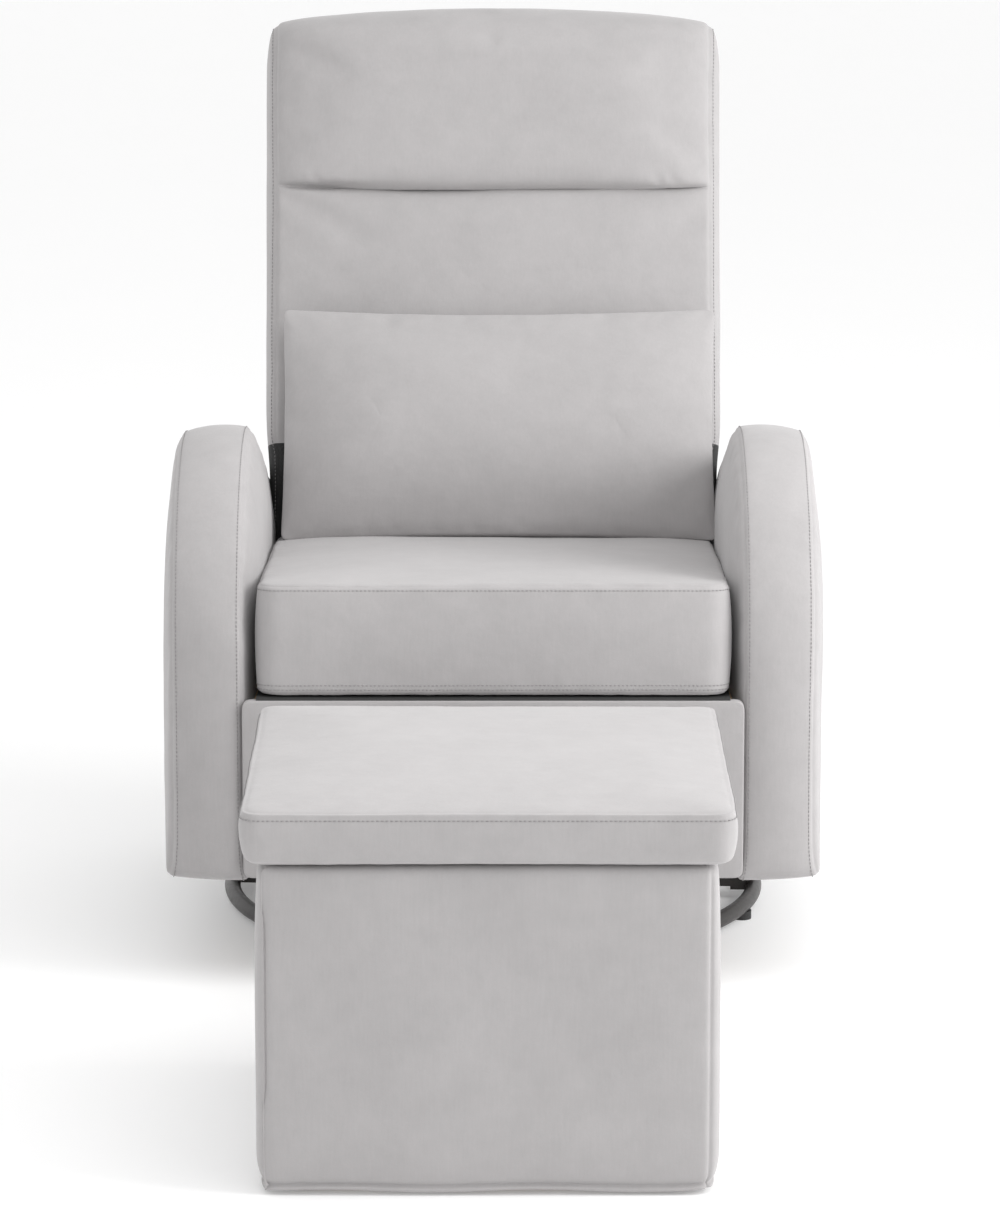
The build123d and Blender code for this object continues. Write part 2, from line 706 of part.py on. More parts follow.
os.makedirs("parts", exist_ok=True)
for name, shape in all_parts().items():
    export_step(Pos(0, SWIVEL_Y, 0) * shape, f"parts/{name}.step")
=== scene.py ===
import json
from math import cos, pi, radians, sin, tan

import bmesh
import bpy
import numpy as np
from mathutils import Matrix, Vector, noise

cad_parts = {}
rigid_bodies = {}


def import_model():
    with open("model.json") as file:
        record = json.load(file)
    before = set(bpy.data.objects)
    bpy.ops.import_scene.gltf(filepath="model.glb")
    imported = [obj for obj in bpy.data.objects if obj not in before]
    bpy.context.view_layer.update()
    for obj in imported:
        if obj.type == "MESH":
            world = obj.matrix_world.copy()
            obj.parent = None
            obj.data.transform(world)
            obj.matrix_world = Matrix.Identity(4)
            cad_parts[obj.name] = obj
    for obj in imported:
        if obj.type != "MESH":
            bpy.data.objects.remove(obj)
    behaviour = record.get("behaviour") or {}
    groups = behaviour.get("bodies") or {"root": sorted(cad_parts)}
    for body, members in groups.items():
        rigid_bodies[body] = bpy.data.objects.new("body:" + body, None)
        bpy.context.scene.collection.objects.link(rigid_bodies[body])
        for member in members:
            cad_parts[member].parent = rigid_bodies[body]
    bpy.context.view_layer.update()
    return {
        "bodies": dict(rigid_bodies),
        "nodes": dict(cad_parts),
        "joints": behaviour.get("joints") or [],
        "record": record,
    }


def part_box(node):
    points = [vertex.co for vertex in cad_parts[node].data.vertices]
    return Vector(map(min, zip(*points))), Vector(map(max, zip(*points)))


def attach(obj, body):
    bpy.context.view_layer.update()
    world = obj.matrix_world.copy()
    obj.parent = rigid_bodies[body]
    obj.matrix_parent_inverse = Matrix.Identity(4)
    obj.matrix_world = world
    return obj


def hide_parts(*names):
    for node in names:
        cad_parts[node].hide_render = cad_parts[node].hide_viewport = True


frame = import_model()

# A glider chair and its ottoman. Metres. Padded pieces are grids of points: rows that run round a loop, from
# the middle of one face, over a seam, across the band, over the other seam, to the middle of the other face.
# Everything is worked out in the chair's own frame, with y measured from the swivel axis.

SWIVEL_Y = sum(corner[1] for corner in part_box("kingpin")) / 2
STEP = 0.0075  # usual spacing of points
FACE_STEPS = 1.5  # spacing of rows on the faces, in steps
NEAR_SEAM = (0.0025, 0.006, 0.011, 0.018)  # rows beside every seam
STITCH_ROW = 2  # rows from a seam to its topstitching
SEAM_DEPTH = 0.0030


def low(node):
    return Vector(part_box(node)[0]) - Vector((0, SWIVEL_Y, 0))


def high(node):
    return Vector(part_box(node)[1]) - Vector((0, SWIVEL_Y, 0))


def placed(y, z, tilt):
    """From a frame that leans back by tilt degrees about (y, z) to the row frame."""
    return Matrix.Translation((0, SWIVEL_Y + y, z)) @ Matrix.Rotation(-radians(tilt), 4, "X")


def linked(name, data):
    """A new object in the scene."""
    obj = bpy.data.objects.new(name, data)
    bpy.context.scene.collection.objects.link(obj)
    return obj


# columns: where the loop's two directions and the thickness point
LYING = Matrix(((1, 0, 0), (0, 1, 0), (0, 0, 1)))
UPRIGHT = Matrix(((1, 0, 0), (0, 0, -1), (0, 1, 0)))
SIDEWAYS = Matrix(((0, 0, 1), (1, 0, 0), (0, 1, 0)))

BACK_TILT = 16.24
DECK_TILT = 5.08
CHAIR_FRONT = -0.398
BACK = placed(0.1335, 0.430, BACK_TILT)
DECK = placed(CHAIR_FRONT, 0.339, DECK_TILT)
LEVEL = placed(0, 0, 0)


# ---- outlines ----
def resample(points, step):
    """Evenly spaced points round a closed outline, counterclockwise."""
    points = np.array(points, float)
    ahead = np.roll(points, -1, axis=0)
    if np.sum(points[:, 0] * ahead[:, 1] - ahead[:, 0] * points[:, 1]) < 0:
        points = points[::-1]
    closed = np.vstack([points, points[:1]])
    along = np.concatenate([[0], np.cumsum(np.linalg.norm(np.diff(closed, axis=0), axis=1))])
    places = np.linspace(0, along[-1], max(12, round(along[-1] / step)), endpoint=False)
    return np.column_stack([np.interp(places, along, closed[:, k]) for k in (0, 1)])


def arc(centre, radius, start, end, steps=12):
    angles = np.radians(np.linspace(start, end, steps))
    return [(centre[0] + radius * cos(a), centre[1] + radius * sin(a)) for a in angles]


def rounded_rectangle(x0, x1, y0, y1, radius):
    r = radius
    points = arc((x1 - r, y1 - r), r, 0, 90) + arc((x0 + r, y1 - r), r, 90, 180)
    return points + arc((x0 + r, y0 + r), r, 180, 270) + arc((x1 - r, y0 + r), r, 270, 360)


# ---- padded forms ----
class Form:
    """A closed padded mesh made of rows round a loop. Its first and last rows close on the spine."""

    def __init__(self, name, loop, spine, width, crown, soft, side, insets=(0.0, 0.0), axes=LYING,
                 place=LEVEL, shape=None, band_step=STEP, hold=None):
        self.loop = loop
        self.count = len(loop)
        self.hold = hold(loop) if hold else np.zeros(self.count)  # 1 where the edge stays square
        start, end = np.array(spine[0]), np.array(spine[1])
        run = end - start
        # the spine is divided so that both sides meet at the same places on it
        parts = max(1, int(np.linalg.norm(run) / STEP / FACE_STEPS))
        share = np.round(np.clip((loop - start) @ run / (run @ run), 0, 1) * parts) / parts
        inward = start + share[:, None] * run - loop
        self.reach = np.linalg.norm(inward, axis=1)
        self.inward = inward / self.reach[:, None]
        tangent = np.roll(loop, -1, axis=0) - np.roll(loop, 1, axis=0)
        tangent /= np.linalg.norm(tangent, axis=1)[:, None]
        self.outward = np.column_stack([tangent[:, 1], -tangent[:, 0]])
        face_a = self.face(width[0], -crown[0], soft[0], insets[0])[::-1]
        face_b = self.face(width[1], crown[1], soft[1], insets[1])
        band = self.band(width, crown, side, insets, band_step)
        self.seam_a = len(face_a)
        self.seam_b = len(face_a) + len(band) - 1
        grid = np.array(face_a + band + face_b)
        if shape:
            grid = shape(grid)
        self.obj = self.mesh(name, grid, axes, place)

    def face(self, seam, crown, soft, inset):
        rows = []
        deepest = NEAR_SEAM[-1]
        shares = np.linspace(0, 1, max(4, int(self.reach.max() / STEP / FACE_STEPS)) + 1)[1:]
        depths = [np.full(self.count, depth) for depth in NEAR_SEAM]
        depths += [deepest + share * (self.reach - inset - deepest) for share in shares]
        for depth in depths:
            points = self.loop + self.inward * (depth + inset)[:, None]
            height = seam + crown * (1 - (1 - self.hold) * np.exp(-depth / soft))
            rows.append(np.column_stack([points, height]))
        return rows

    def band(self, width, crown, side, insets, band_step):
        length = width[1] - width[0]
        inner = [s for s in NEAR_SEAM if s < length / 2 - 0.002]
        middle = length - 2 * inner[-1] if inner else length
        steps = max(2, round(middle / band_step))
        start = inner[-1] if inner else 0.0
        places = [0.0] + inner + [start + middle * k / steps for k in range(1, steps)]
        places += [length - s for s in inner[::-1]] + [length]
        rows = []
        for place in places:
            t = place / length
            bulge = side * sin(pi * t) ** 0.55 if 0 < t < 1 else 0.0
            inset = insets[0] + t * (insets[1] - insets[0])
            points = self.loop + self.outward * (bulge * (1 - self.hold))[:, None] + self.inward * inset
            spread = ((crown[0] + crown[1]) * t - crown[0]) * self.hold
            rows.append(np.column_stack([points, width[0] + place + spread]))
        return rows

    def mesh(self, name, grid, axes, place):
        """Middle rows come first, so that their points keep their numbers when the two end rows merge."""
        order = list(range(1, len(grid) - 1)) + [0, len(grid) - 1]
        self.rows = len(grid)
        to_frame = np.array((place @ axes.to_4x4()))
        flat = grid[order].reshape(-1, 3) @ to_frame[:3, :3].T + to_frame[:3, 3]
        faces = []
        for row in range(self.rows - 1):
            a, b = self.points(row), self.points(row + 1)
            faces += [(a[i - 1], a[i], b[i], b[i - 1]) for i in range(self.count)]
        data = bpy.data.meshes.new(name)
        data.from_pydata(flat.tolist(), [], [tuple(int(v) for v in face) for face in faces])
        tidy = bmesh.new()
        tidy.from_mesh(data)
        tidy.verts.ensure_lookup_table()
        ends = [tidy.verts[int(i)] for row in (0, self.rows - 1) for i in self.points(row)]
        bmesh.ops.remove_doubles(tidy, verts=ends, dist=0.0005)
        bmesh.ops.dissolve_degenerate(tidy, edges=tidy.edges, dist=1e-6)
        bmesh.ops.recalc_face_normals(tidy, faces=tidy.faces)
        tidy.to_mesh(data)
        tidy.free()
        data.shade_smooth()
        return linked(name, data)

    def points(self, row):
        """Vertex numbers of a row."""
        if row == 0:
            row = self.rows - 1
        elif row == self.rows - 1:
            row = self.rows
        return np.arange((row - 1) * self.count, row * self.count)

    def places(self):
        flat = np.empty(len(self.obj.data.vertices) * 3)
        self.obj.data.vertices.foreach_get("co", flat)
        return flat.reshape(-1, 3)

    def normals(self):
        flat = np.empty(len(self.obj.data.vertices) * 3)
        self.obj.data.vertex_normals.foreach_get("vector", flat)
        return flat.reshape(-1, 3)

    def move(self, places):
        self.obj.data.vertices.foreach_set("co", places.ravel())
        self.obj.data.update()

    def groove(self, row, depth=SEAM_DEPTH, shares=((-1, 0.25), (0, 1.0), (1, 0.25))):
        """Pulls a seam in, and its two neighbours a little."""
        places, normals = self.places(), self.normals()
        for near, share in shares:
            points = self.points(row + near)
            places[points] -= normals[points] * depth * share
        self.move(places)

    def relax(self, rounds):
        """Evens out the middles of the two faces, where rows crowd together."""
        edges = np.empty(len(self.obj.data.edges) * 2, dtype=np.int32)
        self.obj.data.edges.foreach_get("vertices", edges)
        a, b = edges.reshape(-1, 2).T
        places = self.places()
        share = np.full(len(places), 0.5)
        for row in range(1, self.rows - 1):
            beyond = max(self.seam_a - row, row - self.seam_b)
            share[self.points(row)] = 0.5 * min(1.0, max(0.0, (beyond - 3) / 3))
        degree = np.maximum(np.bincount(a, minlength=len(places)) + np.bincount(b, minlength=len(places)), 1)
        for _ in range(rounds):
            total = np.zeros_like(places)
            np.add.at(total, a, places[b])
            np.add.at(total, b, places[a])
            places += (total / degree[:, None] - places) * share[:, None]
        self.move(places)

    def pucker(self, row, height, seed, size=0.013):
        """Small folds across a seam, where the sewing gathers the cloth."""
        places, normals = self.places(), self.normals()
        line = places[self.points(row)]
        along = np.cumsum(np.linalg.norm(line - np.roll(line, 1, axis=0), axis=1))
        for near in (-4, -3, -2, -1, 1, 2, 3, 4):
            depth = NEAR_SEAM[abs(near) - 1]
            fade = height * np.exp(-depth / 0.009)
            folds = [noise.noise(Vector((a / size, seed + 0.25 * near, 0.3))) * fade for a in along]
            points = self.points(row + near)
            places[points] += normals[points] * np.array(folds)[:, None]
        self.move(places)

    def ripple(self, size, height, seed):
        """Soft unevenness of the filling. Undersides stay flat."""
        places, normals = self.places(), self.normals()
        offset = Vector((seed * 3.1, seed * 7.7, seed * 1.3))
        lift = np.array([noise.noise(Vector(place) / size + offset) * height for place in places])
        lift *= np.clip((normals[:, 2] + 1) * 2, 0, 1)
        self.move(places + normals * lift[:, None])


def settle(form, frame, floor):
    """Flattens the underside of a piece on what it rests on."""
    inward, outward = np.array(frame.inverted()), np.array(frame)
    local = form.places() @ inward[:3, :3].T + inward[:3, 3]
    local[:, 2] = np.maximum(local[:, 2], floor)
    form.move(local @ outward[:3, :3].T + outward[:3, 3])


def simulate(forms, slacks, frames=16, pressure=1.6, cap=0.005):
    """Blows the pads up as cloth between their pinned seams, all of them together, and applies the result."""
    for form, slack in zip(forms, slacks):
        group = form.obj.vertex_groups.new(name="pin")
        for row in (form.seam_a, form.seam_b):
            group.add([int(i) for i in form.points(row)], 1.0, "REPLACE")
        cloth = form.obj.modifiers.new("Cloth", "CLOTH")
        settings = cloth.settings
        settings.quality = 5
        settings.mass = 0.25
        settings.tension_stiffness = 18
        settings.compression_stiffness = 18
        settings.shear_stiffness = 8
        settings.bending_stiffness = 3.0
        settings.use_pressure = True
        settings.uniform_pressure_force = pressure
        settings.shrink_min = -slack
        settings.effector_weights.gravity = 0
        settings.vertex_group_mass = "pin"
        cloth.collision_settings.use_collision = False
        cloth.point_cache.frame_start = 1
        cloth.point_cache.frame_end = frames
    scene = bpy.context.scene
    for number in range(1, frames + 1):
        scene.frame_set(number)
    shapes = bpy.context.evaluated_depsgraph_get()
    for form in forms:
        before = form.places()
        flat = np.empty(len(form.obj.data.vertices) * 3)
        form.obj.evaluated_get(shapes).data.vertices.foreach_get("co", flat)
        shift = flat.reshape(-1, 3) - before
        length = np.linalg.norm(shift, axis=1)
        length[length < 1e-9] = 1e-9
        limited = cap * np.tanh(length / cap)
        form.result = before + shift * (limited / length)[:, None]
    scene.frame_set(1)
    for form in forms:
        form.obj.modifiers.clear()
        form.obj.vertex_groups.clear()
        form.move(form.result)


def finish_form(form, body, replaced):
    """One subdivision, its cloth, and what the frame has to know about it."""
    smooth = form.obj.modifiers.new("Smooth", "SUBSURF")
    smooth.levels = 1
    smooth.render_levels = 1
    form.obj.data.materials.append(VELVET)
    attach(form.obj, body)
    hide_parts(replaced)


# ---- sewing ----
STITCH = 0.0034
STITCH_PITCH = 0.0046
THREAD_R = 0.0006
THREAD_SIDES = 5
THREAD_RINGS = ((0.0, 0.5, -0.3), (0.5, 1.0, 0.35), (1.0, 0.5, -0.3))  # place along, thickness, lift


def stitches(name, form, rows, body):
    """Topstitching along rows of a form, as short raised threads."""
    places, normals = form.places(), form.normals()
    verts, faces = [], []
    for row in rows:
        points = form.points(row)
        line = np.vstack([places[points], places[points[:1]]])
        up = np.vstack([normals[points], normals[points[:1]]])
        along = np.concatenate([[0], np.cumsum(np.linalg.norm(np.diff(line, axis=0), axis=1))])
        for middle in np.arange(STITCH_PITCH / 2, along[-1], STITCH_PITCH):
            ends = [np.array([np.interp(middle + s, along, line[:, k]) for k in range(3)])
                    for s in (-STITCH / 2, STITCH / 2)]
            normal = np.array([np.interp(middle, along, up[:, k]) for k in range(3)])
            add_stitch(verts, faces, ends, normal / np.linalg.norm(normal))
    data = bpy.data.meshes.new(name)
    data.from_pydata(verts, [], faces)
    data.shade_smooth()
    obj = linked(name, data)
    obj.data.materials.append(THREAD)
    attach(obj, body)


def add_stitch(verts, faces, ends, normal):
    """One thread, thick in the middle, its ends sunk in the cloth."""
    along = ends[1] - ends[0]
    across = np.cross(along, normal)
    across /= np.linalg.norm(across)
    first, n = len(verts), THREAD_SIDES
    for t, radius, lift in THREAD_RINGS:
        centre = ends[0] + along * t + normal * lift * THREAD_R
        for k in range(n):
            angle = 2 * pi * k / n
            spoke = across * cos(angle) + normal * sin(angle)
            verts.append(tuple(centre + spoke * radius * THREAD_R))
    for ring in range(len(THREAD_RINGS) - 1):
        for k in range(n):
            a, b = first + ring * n + k, first + ring * n + (k + 1) % n
            faces.append((a, b, b + n, a + n))
    last = first + (len(THREAD_RINGS) - 1) * n
    faces.append(tuple(first + k for k in reversed(range(n))))
    faces.append(tuple(last + k for k in range(n)))


# ---- materials ----
def new_material(name):
    material = bpy.data.materials.new(name)
    material.use_nodes = True
    tree = material.node_tree
    return material, tree, tree.nodes["Principled BSDF"]


def noise_node(tree, where, scale, detail=3.0, roughness=0.5):
    node = tree.nodes.new("ShaderNodeTexNoise")
    node.inputs["Scale"].default_value = scale
    node.inputs["Detail"].default_value = detail
    node.inputs["Roughness"].default_value = roughness
    tree.links.new(where, node.inputs["Vector"])
    return node.outputs["Fac"]


def stretched(tree, scale):
    """Object coordinates stretched along an axis."""
    coords = tree.nodes.new("ShaderNodeTexCoord")
    mapping = tree.nodes.new("ShaderNodeMapping")
    mapping.inputs["Scale"].default_value = scale
    tree.links.new(coords.outputs["Object"], mapping.inputs["Vector"])
    return mapping.outputs["Vector"]


def weighted(tree, value, low_out, high_out, low_in=0.3, high_in=0.7):
    node = tree.nodes.new("ShaderNodeMapRange")
    node.inputs["From Min"].default_value = low_in
    node.inputs["From Max"].default_value = high_in
    node.inputs["To Min"].default_value = low_out
    node.inputs["To Max"].default_value = high_out
    tree.links.new(value, node.inputs["Value"])
    return node.outputs["Result"]


def maths(tree, operation, a, b):
    node = tree.nodes.new("ShaderNodeMath")
    node.operation = operation
    for socket, value in zip(node.inputs, (a, b)):
        if isinstance(value, (int, float)):
            socket.default_value = value
        else:
            tree.links.new(value, socket)
    return node.outputs[0]


def bump(tree, shader, height, distance, strength=1.0):
    node = tree.nodes.new("ShaderNodeBump")
    node.inputs["Strength"].default_value = strength
    node.inputs["Distance"].default_value = distance
    tree.links.new(height, node.inputs["Height"])
    tree.links.new(node.outputs["Normal"], shader.inputs["Normal"])


def tinted(tree, shader, colour, factor):
    """The colour times a varying brightness."""
    mix = tree.nodes.new("ShaderNodeVectorMath")
    mix.operation = "SCALE"
    mix.inputs[0].default_value = colour
    tree.links.new(factor, mix.inputs["Scale"])
    tree.links.new(mix.outputs[0], shader.inputs["Base Color"])


def velvet(name, colour):
    """Short pile: cloudy nap, fine streaks along the pile, soft sheen."""
    material, tree, shader = new_material(name)
    even = stretched(tree, (1, 1, 1))
    clouds = weighted(tree, noise_node(tree, even, 9.0, 4.0, 0.6), 0.965, 1.035)
    marks = weighted(tree, noise_node(tree, even, 42.0, 3.0, 0.6), 0.975, 1.025)
    streaks = weighted(tree, noise_node(tree, stretched(tree, (1, 1, 0.09)), 420.0, 2.0), 0.985, 1.015)
    pile = noise_node(tree, even, 1500.0, 2.0)
    grain = weighted(tree, pile, 0.975, 1.025)
    cloudy = maths(tree, "MULTIPLY", clouds, marks)
    fine = maths(tree, "MULTIPLY", streaks, grain)
    tinted(tree, shader, colour, maths(tree, "MULTIPLY", cloudy, fine))
    tree.links.new(weighted(tree, noise_node(tree, even, 30.0), 0.78, 0.92), shader.inputs["Roughness"])
    shader.inputs["Sheen Weight"].default_value = 0.32
    shader.inputs["Sheen Roughness"].default_value = 0.45
    shader.inputs["Specular IOR Level"].default_value = 0.15
    height = maths(tree, "ADD", maths(tree, "MULTIPLY", pile, 0.35), noise_node(tree, even, 90.0, 4.0))
    bump(tree, shader, height, 0.0006, 0.55)
    return material


def plain(name, colour, roughness, metallic=0.0, scale=300.0, spread=0.08, depth=0.00005, stretch=(1, 1, 1)):
    """Paint, plastic or bare metal: a slightly uneven colour and gloss, and a fine grain."""
    material, tree, shader = new_material(name)
    where = stretched(tree, stretch)
    cloud = noise_node(tree, where, scale, 4.0)
    tinted(tree, shader, colour, weighted(tree, cloud, 1 - spread, 1 + spread))
    shader.inputs["Metallic"].default_value = metallic
    tree.links.new(weighted(tree, cloud, roughness - 0.06, roughness + 0.06), shader.inputs["Roughness"])
    bump(tree, shader, noise_node(tree, where, scale * 3), depth, 0.6)
    return material


def woven(name, colour):
    """Black cloth with a visible weave."""
    material, tree, shader = new_material(name)
    where = stretched(tree, (1, 1, 1))
    threads = []
    for direction in ("X", "Y"):
        wave = tree.nodes.new("ShaderNodeTexWave")
        wave.bands_direction = direction
        wave.inputs["Scale"].default_value = 220.0
        tree.links.new(where, wave.inputs["Vector"])
        threads.append(wave.outputs["Fac"])
    weave = maths(tree, "MAXIMUM", threads[0], threads[1])
    tinted(tree, shader, colour, weighted(tree, weave, 0.6, 1.3, 0.0, 1.0))
    shader.inputs["Roughness"].default_value = 0.9
    bump(tree, shader, weave, 0.0003)
    return material


def plywood(name):
    material, tree, shader = new_material(name)
    grain = noise_node(tree, stretched(tree, (1, 0.08, 1)), 160.0, 6.0, 0.65)
    tinted(tree, shader, (0.60, 0.43, 0.27), weighted(tree, grain, 0.75, 1.15))
    shader.inputs["Roughness"].default_value = 0.6
    bump(tree, shader, grain, 0.0002, 0.5)
    return material


VELVET = velvet("velvet", (0.400, 0.387, 0.388))
THREAD = plain("thread", (0.27, 0.262, 0.262), 0.7, scale=900.0)
FINISHES = {
    "velvet": VELVET,
    "black_cloth": woven("black_cloth", (0.03, 0.03, 0.03)),
    "black_paint": plain("black_paint", (0.028, 0.025, 0.024), 0.38, scale=160.0, depth=0.0001),
    "zinc_steel": plain("zinc_steel", (0.55, 0.55, 0.56), 0.32, 1.0, stretch=(1, 1, 0.2)),
    "ball_steel": plain("ball_steel", (0.8, 0.8, 0.82), 0.12, 1.0, spread=0.02),
    "nylon": plain("nylon", (0.78, 0.77, 0.72), 0.5),
    "black_plastic": plain("black_plastic", (0.02, 0.02, 0.02), 0.55, scale=500.0, depth=0.0002),
    "plywood": plywood("plywood"),
}


def paint_cad():
    for part in frame["record"]["subparts"]:
        obj = frame["nodes"][part["node"]]
        obj.data.materials.clear()
        obj.data.materials.append(FINISHES[part["material_slot"]])


# ---- arms ----
ARM_SEAMS = (0.279, 0.3595)  # inner and outer
ARM_CURVE_R = 0.221
ARM_CURVE_Z = 0.385
ARM_SLOPE = 18.5
ARM_CROWN = 0.008
ARM_BOTTOM = 0.1240
ARM_REAR = 0.262
ARM_REAR_R = 0.022
ARM_FOOT_R = 0.006
SEAT_Z = 0.48  # over this the arm's inner side is free to bulge


def arm_loop():
    """Side outline, smaller than the arm by the band's crown."""
    front, rear, bottom = CHAIR_FRONT + ARM_CROWN, ARM_REAR - ARM_CROWN, ARM_BOTTOM
    radius = ARM_CURVE_R - ARM_CROWN
    centre = (front + radius, ARM_CURVE_Z)
    curve = arc(centre, radius, 180, 90 - ARM_SLOPE, 30)
    rear_z = curve[-1][1] - tan(radians(ARM_SLOPE)) * (rear - curve[-1][0])
    top_r, r = ARM_REAR_R, ARM_FOOT_R
    end = [(rear - top_r, rear_z + top_r * 0.3)]
    end += arc((rear - top_r, rear_z - top_r * 0.75), top_r, 80, 0, 6)
    foot = arc((rear - r, bottom + r), r, 0, -90, 4) + arc((front + r, bottom + r), r, 270, 180, 4)
    return resample(curve + end + foot, STEP)


def arm_hold(loop):
    """The padding runs on nearly full to the foot of the arm."""
    return 0.72 * np.exp(-(loop[:, 1] - ARM_BOTTOM).clip(0) / 0.016)


def arm_shape(grid):
    """Lets the inner side bulge over the cushion."""
    z, x = grid[..., 1], grid[..., 2]
    inner = np.clip((ARM_SEAMS[0] - x) / 0.008, 0, 1.2)
    over_seat = 1 / (1 + np.exp(-(z - SEAT_Z) / 0.02))
    grid[..., 2] = x - inner * over_seat * 0.006
    return grid


def make_arm(name, side):
    loop = arm_loop()
    flip = Matrix.Scale(-1, 4, (1, 0, 0)) if side < 0 else Matrix.Identity(4)
    return Form(name, loop, ((-0.20, 0.33), (0.10, 0.33)), ARM_SEAMS, (0.008, 0.009), (0.012, 0.011),
                ARM_CROWN, insets=(0.0, 0.006), axes=SIDEWAYS, place=LEVEL @ flip, shape=arm_shape,
                hold=arm_hold)


# ---- back ----
BACK_SEAM_X = 0.267
CHANNEL = 0.4152
BACK_FRONT = 0.004
BACK_REAR = 0.121
BACK_TOP = 0.630
BACK_LOW = -0.100
FOOT_TOP = 0.094  # below this the back goes down narrower between the arms, its cloth painted black as the shade there
LIP = 0.031  # height of the head roll's edge, which hangs over the channel
HEAD_ROLL = 0.021  # how far the head stands out over the channel, and how much further with height
HEAD_LEAN = 0.035
MIDDLE_CROWN = 0.007
CREASE = 0.012
TOP_DROP = 0.008  # of the head's two upper corners
FOOT_TUCK = 0.018
FOLD_DEPTH = 0.0065
FOLDS_X = 0.214  # where the cloth is gathered, near each end of the channel
FOLD_PITCH = 0.019


def back_loop():
    """Side outline, with points close together at the sewn channel. Coordinates are depth and height."""
    r_front, r_rear = 0.034, 0.030
    top = arc((BACK_FRONT + r_front, BACK_TOP - r_front), r_front, 180, 90, 10)
    top += arc((BACK_REAR - r_rear, BACK_TOP - r_rear), r_rear, 90, 0, 8)
    bottom = arc((BACK_REAR - 0.01, BACK_LOW + 0.01), 0.01, 0, -90, 4)
    bottom += arc((BACK_FRONT + 0.01, BACK_LOW + 0.01), 0.01, 270, 180, 4)
    loop = resample(top + bottom, STEP)
    front = (np.abs(loop[:, 0] - BACK_FRONT) < 1e-4) & (np.abs(loop[:, 1] - CHANNEL) < 0.036)
    kept = loop[~front]
    gaps = np.array([-0.03, -0.021, -0.014, -0.009, -0.0055, -0.003, -0.001, 0.001, 0.0025, 0.0045, 0.007,
                     0.010, 0.014, 0.019, 0.025, 0.031])
    extra = np.column_stack([np.full(len(gaps), BACK_FRONT), CHANNEL + gaps])
    following = np.nonzero(front)[0][-1] + 1
    number = following - np.count_nonzero(front)
    if loop[following % len(loop), 1] < CHANNEL:
        extra = extra[::-1]
    return np.vstack([kept[:number], extra, kept[number:]])


def channel_line(x):
    """Height of the sewn channel: it sags a little in the middle."""
    return CHANNEL - 0.0008 * np.cos(x / BACK_SEAM_X * pi / 2) + 0.0008 * np.sin(x * 21.0)


def back_shape(grid):
    """Head roll that hangs over the channel, softer middle section, narrower foot between the arms."""
    depth, height, x = grid[..., 0], grid[..., 1], grid[..., 2]
    front = np.clip(1 - (depth - BACK_FRONT) / 0.05, 0, 1)
    edge = 1 - np.exp(-np.clip(BACK_SEAM_X - np.abs(x), 0, 1) / 0.022)
    above = height - channel_line(x)
    over = above.clip(0)
    head = (above > 0) * (1 - np.exp(-over / 0.0065)) * (HEAD_ROLL + HEAD_LEAN * over)
    middle = (above <= 0) * (1 - np.exp(above.clip(max=0) / 0.016)) * np.exp(-(above / 0.5) ** 2)
    crease = np.exp(-np.abs(above) / 0.0035)
    folds = np.exp(-((np.abs(x) - FOLDS_X) / 0.016) ** 2) * np.exp(-((above - 0.010) / 0.009) ** 2)
    folds = folds * (0.5 + 0.5 * np.cos((x + 0.5 * above) * 2 * pi / FOLD_PITCH))
    forward = edge * (head + MIDDLE_CROWN * middle - CREASE * crease) - FOLD_DEPTH * folds
    grid[..., 0] = depth - front * forward
    lip = (above > 0) * (over - LIP * (over / LIP).clip(0, 1) ** 2.1) * (over < LIP)
    lip = edge * front * (lip + 0.0035 * (above > 0) * np.exp(-over / 0.015))
    top = np.clip((height - 0.55) / 0.08, 0, 1)
    grid[..., 1] = height - lip - top * TOP_DROP * (np.abs(x) / BACK_SEAM_X) ** 4
    foot = 1 / (1 + np.exp((height - FOOT_TOP) / 0.004))
    grid[..., 2] = x * (1 - FOOT_TUCK * foot)
    return grid


def make_back():
    spine = ((0.063, -0.02), (0.063, 0.56))
    return Form("back_upholstery", back_loop(), spine, (-BACK_SEAM_X, BACK_SEAM_X), (0.0135, 0.0135),
                (0.016, 0.016), 0.006, axes=SIDEWAYS, place=BACK, shape=back_shape)


def paint_foot_shade_black(form):
    """Painted shade: the part of the back that goes down between the arms gets the black cloth, standing in
    for the deep shade there.
    """
    form.obj.data.materials.append(FINISHES["black_cloth"])
    to_back = BACK.inverted()
    for face in form.obj.data.polygons:
        # faces below the foot's top are painted black as shade
        if (to_back @ face.center).z < FOOT_TOP:
            face.material_index = 1


# ---- seat cushion and pillow ----
CUSHION_HALF_W = 0.262
SEAT_DEPTH = 0.494


def make_cushion():
    corners = rounded_rectangle(-CUSHION_HALF_W, CUSHION_HALF_W, 0.004, SEAT_DEPTH, 0.022)
    loop = resample(corners, STEP)
    return Form("seat_cushion_cover", loop, ((-0.02, 0.24), (0.02, 0.24)), (0.001, 0.1245), (0.001, 0.005),
                (0.03, 0.03), 0.0045, axes=LYING, place=DECK)


PILLOW_TILT = 25.0
PILLOW_W = 0.524
PILLOW_H = 0.289
PILLOW_X = 0.007
PILLOW_HALF_T = 0.050
CORNER_FOLD = 0.03  # how far from a corner its fold is deepest


